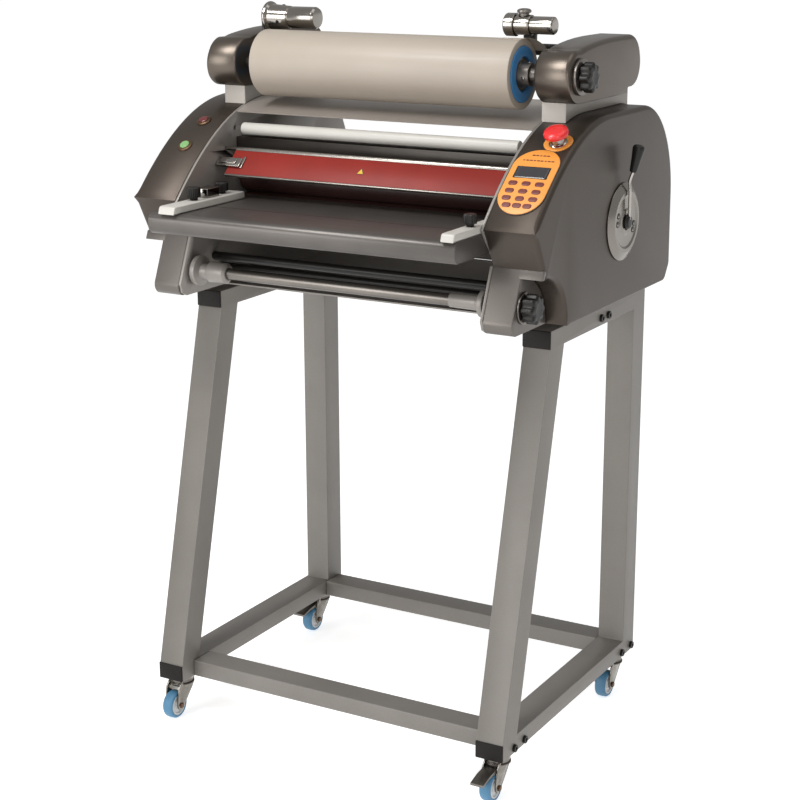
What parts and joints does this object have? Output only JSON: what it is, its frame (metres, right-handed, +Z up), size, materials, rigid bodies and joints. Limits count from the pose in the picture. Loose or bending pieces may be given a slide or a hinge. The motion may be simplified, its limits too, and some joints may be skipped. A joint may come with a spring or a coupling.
{
  "type": "roll laminator",
  "caption": "Stand-mounted hot and cold roll laminator with curved end housings, a braked film roll above the nip, feed table with edge guides, heat guard and swivel casters.",
  "frame": {"origin": "on the floor, at the centre of the object's footprint", "axes": "+Z up, -Y towards the operator at the feed table, +X to the operator's right, where the pressure lever is"},
  "size_m": [0.7927, 0.644, 1.261],
  "materials": {
    "stand_paint": "satin",
    "housing_paint": "satin",
    "panel_paint": "satin",
    "casting_paint": "painted satin",
    "black_plastic": "matte",
    "white_plastic": "satin",
    "bright_steel": "brushed",
    "caster_tread": "matte",
    "film": "satin",
    "core_blue": "matte",
    "roller_rubber": "matte",
    "guard_red": "glossy, translucent",
    "panel_orange": "satin",
    "signal_red": "glossy",
    "signal_green": "glossy",
    "motor_casting": "painted"
  },
  "bodies": {
    "machine": {"base_tray": "panel_paint", "control_panel": "panel_orange", "drive_motor": "motor_casting", "feed_table": "panel_paint", "front_cross_rail": "stand_paint", "heater_hood": "panel_paint", "left_bottom_cap": "black_plastic", "left_cover": "housing_paint", "left_shoulder": "casting_paint", "left_side_frame": "stand_paint", "left_side_plate": "panel_paint", "left_take_up_housing": "panel_paint", "left_top_cap": "black_plastic", "pressure_dial": "black_plastic", "rear_cross_rail": "stand_paint", "rear_panel": "panel_paint", "right_bottom_cap": "black_plastic", "right_cover": "housing_paint", "right_shoulder": "casting_paint", "right_side_frame": "stand_paint", "right_side_plate": "panel_paint", "right_take_up_housing": "panel_paint", "right_top_cap": "black_plastic", "top_cover": "panel_paint", "top_cross_rail": "stand_paint"},
    "caster_swivel_front_left": {"caster_fork_front_left": "bright_steel"},
    "caster_roll_front_left": {"caster_wheel_front_left": "caster_tread"},
    "caster_swivel_front_right": {"caster_fork_front_right": "bright_steel"},
    "caster_roll_front_right": {"caster_wheel_front_right": "caster_tread"},
    "caster_swivel_rear_left": {"caster_fork_rear_left": "bright_steel"},
    "caster_roll_rear_left": {"caster_wheel_rear_left": "caster_tread"},
    "caster_swivel_rear_right": {"caster_fork_rear_right": "bright_steel"},
    "caster_roll_rear_right": {"caster_wheel_rear_right": "caster_tread"},
    "brake_front_right": {"brake_pedal_front_right": "black_plastic"},
    "brake_rear_left": {"brake_pedal_rear_left": "black_plastic"},
    "film_supply": {"film_roll": "film", "film_core": "core_blue", "supply_shaft": "bright_steel"},
    "supply_brake": {"supply_brake_knob": "black_plastic"},
    "take_up": {"take_up_shaft": "bright_steel", "left_take_up_cup": "bright_steel", "right_take_up_cup": "bright_steel"},
    "take_up_brake": {"take_up_brake_knob": "black_plastic"},
    "lower_nip": {"lower_nip_roller": "roller_rubber"},
    "nip_lift": {"nip_yoke": "bright_steel"},
    "upper_nip": {"upper_nip_roller": "roller_rubber"},
    "lower_pull": {"lower_pull_roller": "roller_rubber"},
    "upper_pull": {"upper_pull_roller": "roller_rubber"},
    "idler": {"idler_roller": "white_plastic"},
    "guard": {"heat_guard": "guard_red"},
    "lever": {"pressure_lever": "black_plastic"},
    "e_stop": {"e_stop_button": "signal_red"},
    "stop_push": {"stop_button": "signal_red"},
    "start_push": {"start_button": "signal_green"},
    "left_guide": {"left_edge_guide": "white_plastic"},
    "left_guide_clamp": {"left_guide_knob": "black_plastic"},
    "left_chuck": {"left_chuck": "bright_steel"},
    "right_guide": {"right_edge_guide": "white_plastic"},
    "right_guide_clamp": {"right_guide_knob": "black_plastic"},
    "right_chuck": {"right_chuck": "bright_steel"}
  },
  "joints": [
    {"name": "caster_swivel_front_left", "type": "hinge", "parent": "machine", "child": "caster_swivel_front_left", "pos_m": [-0.34015, -0.226, 0.07], "axis": [0, 0, 1], "continuous": true},
    {"name": "caster_roll_front_left", "type": "hinge", "parent": "caster_swivel_front_left", "child": "caster_roll_front_left", "pos_m": [-0.34015, -0.25, 0.025], "axis": [1, 0, 0], "continuous": true},
    {"name": "caster_swivel_front_right", "type": "hinge", "parent": "machine", "child": "caster_swivel_front_right", "pos_m": [0.30345, -0.226, 0.07], "axis": [0, 0, 1], "continuous": true},
    {"name": "caster_roll_front_right", "type": "hinge", "parent": "caster_swivel_front_right", "child": "caster_roll_front_right", "pos_m": [0.30345, -0.25, 0.025], "axis": [1, 0, 0], "continuous": true},
    {"name": "caster_swivel_rear_left", "type": "hinge", "parent": "machine", "child": "caster_swivel_rear_left", "pos_m": [-0.34015, 0.241, 0.07], "axis": [0, 0, 1], "continuous": true},
    {"name": "caster_roll_rear_left", "type": "hinge", "parent": "caster_swivel_rear_left", "child": "caster_roll_rear_left", "pos_m": [-0.34015, 0.217, 0.025], "axis": [1, 0, 0], "continuous": true},
    {"name": "caster_swivel_rear_right", "type": "hinge", "parent": "machine", "child": "caster_swivel_rear_right", "pos_m": [0.30345, 0.241, 0.07], "axis": [0, 0, 1], "continuous": true},
    {"name": "caster_roll_rear_right", "type": "hinge", "parent": "caster_swivel_rear_right", "child": "caster_roll_rear_right", "pos_m": [0.30345, 0.217, 0.025], "axis": [1, 0, 0], "continuous": true},
    {"name": "brake_press_front_right", "type": "hinge", "parent": "caster_swivel_front_right", "child": "brake_front_right", "pos_m": [0.30345, -0.248, 0.0545], "axis": [1, 0, 0], "range_deg": [0, 8]},
    {"name": "brake_press_rear_left", "type": "hinge", "parent": "caster_swivel_rear_left", "child": "brake_rear_left", "pos_m": [-0.34015, 0.219, 0.0545], "axis": [1, 0, 0], "range_deg": [0, 8]},
    {"name": "supply_spin", "type": "hinge", "parent": "machine", "child": "film_supply", "pos_m": [-0.01835, -0.016, 1.16], "axis": [1, 0, 0], "continuous": true},
    {"name": "supply_brake_turn", "type": "hinge", "parent": "machine", "child": "supply_brake", "pos_m": [0.32865, -0.016, 1.16], "axis": [1, 0, 0], "range_deg": [-180, 180]},
    {"name": "take_up_spin", "type": "hinge", "parent": "machine", "child": "take_up", "pos_m": [-0.01835, -0.195, 0.8205], "axis": [1, 0, 0], "continuous": true},
    {"name": "take_up_brake_turn", "type": "hinge", "parent": "machine", "child": "take_up_brake", "pos_m": [0.32365, -0.195, 0.8205], "axis": [1, 0, 0], "range_deg": [-180, 180]},
    {"name": "lower_nip_spin", "type": "hinge", "parent": "machine", "child": "lower_nip", "pos_m": [-0.01835, -0.041, 0.9095], "axis": [1, 0, 0], "continuous": true},
    {"name": "nip_lift_slide", "type": "slide", "parent": "machine", "child": "nip_lift", "axis": [0, 0, 1], "range_m": [0, 0.008]},
    {"name": "upper_nip_spin", "type": "hinge", "parent": "nip_lift", "child": "upper_nip", "pos_m": [-0.01835, -0.041, 0.9655], "axis": [1, 0, 0], "continuous": true},
    {"name": "lower_pull_spin", "type": "hinge", "parent": "machine", "child": "lower_pull", "pos_m": [-0.01835, 0.164, 0.9145], "axis": [1, 0, 0], "continuous": true},
    {"name": "upper_pull_spin", "type": "hinge", "parent": "machine", "child": "upper_pull", "pos_m": [-0.01835, 0.164, 0.9605], "axis": [1, 0, 0], "continuous": true},
    {"name": "idler_spin", "type": "hinge", "parent": "machine", "child": "idler", "pos_m": [-0.01835, -0.0625, 1.0495], "axis": [1, 0, 0], "continuous": true},
    {"name": "guard_hinge", "type": "hinge", "parent": "machine", "child": "guard", "pos_m": [-0.01835, -0.0914, 1.0172], "axis": [1, 0, 0], "range_deg": [-70, 0]},
    {"name": "pressure_lever_turn", "type": "hinge", "parent": "machine", "child": "lever", "pos_m": [0.37165, 0.099, 0.915], "axis": [1, 0, 0], "range_deg": [0, 60]},
    {"name": "e_stop_push", "type": "slide", "parent": "machine", "child": "e_stop", "axis": [0, -0.4591, 0.8884], "range_m": [-0.004, 0], "stiffness_N_per_m": 1200, "springref_m": 0.002},
    {"name": "stop_push", "type": "slide", "parent": "machine", "child": "stop_push", "axis": [0, -0.4686, 0.8834], "range_m": [-0.0025, 0], "stiffness_N_per_m": 500, "springref_m": 0.002},
    {"name": "start_push", "type": "slide", "parent": "machine", "child": "start_push", "axis": [0, -0.6014, 0.799], "range_m": [-0.0025, 0], "stiffness_N_per_m": 500, "springref_m": 0.002},
    {"name": "left_guide_slide", "type": "slide", "parent": "machine", "child": "left_guide", "axis": [1, 0, 0], "range_m": [0, 0.2]},
    {"name": "left_guide_clamp", "type": "hinge", "parent": "left_guide", "child": "left_guide_clamp", "pos_m": [-0.26635, -0.241, 0.955], "axis": [0, 0, 1], "range_deg": [-170, 170]},
    {"name": "left_chuck_spin", "type": "hinge", "parent": "machine", "child": "left_chuck", "pos_m": [-0.26835, 0.039, 1.234], "axis": [1, 0, 0], "continuous": true},
    {"name": "right_guide_slide", "type": "slide", "parent": "machine", "child": "right_guide", "axis": [1, 0, 0], "range_m": [-0.2, 0]},
    {"name": "right_guide_clamp", "type": "hinge", "parent": "right_guide", "child": "right_guide_clamp", "pos_m": [0.25515, -0.246, 0.955], "axis": [0, 0, 1], "range_deg": [-170, 170]},
    {"name": "right_chuck_spin", "type": "hinge", "parent": "machine", "child": "right_chuck", "pos_m": [0.20165, 0.039, 1.234], "axis": [1, 0, 0], "continuous": true}
  ],
  "couplings": [
    {"joint": "pressure_lever_turn", "follows": "nip_lift_slide", "rad_per_m": 130},
    {"joint": "upper_nip_spin", "follows": "lower_nip_spin", "ratio": -1},
    {"joint": "lower_pull_spin", "follows": "lower_nip_spin", "ratio": 1.2188},
    {"joint": "upper_pull_spin", "follows": "lower_nip_spin", "ratio": -1.2188}
  ]
}
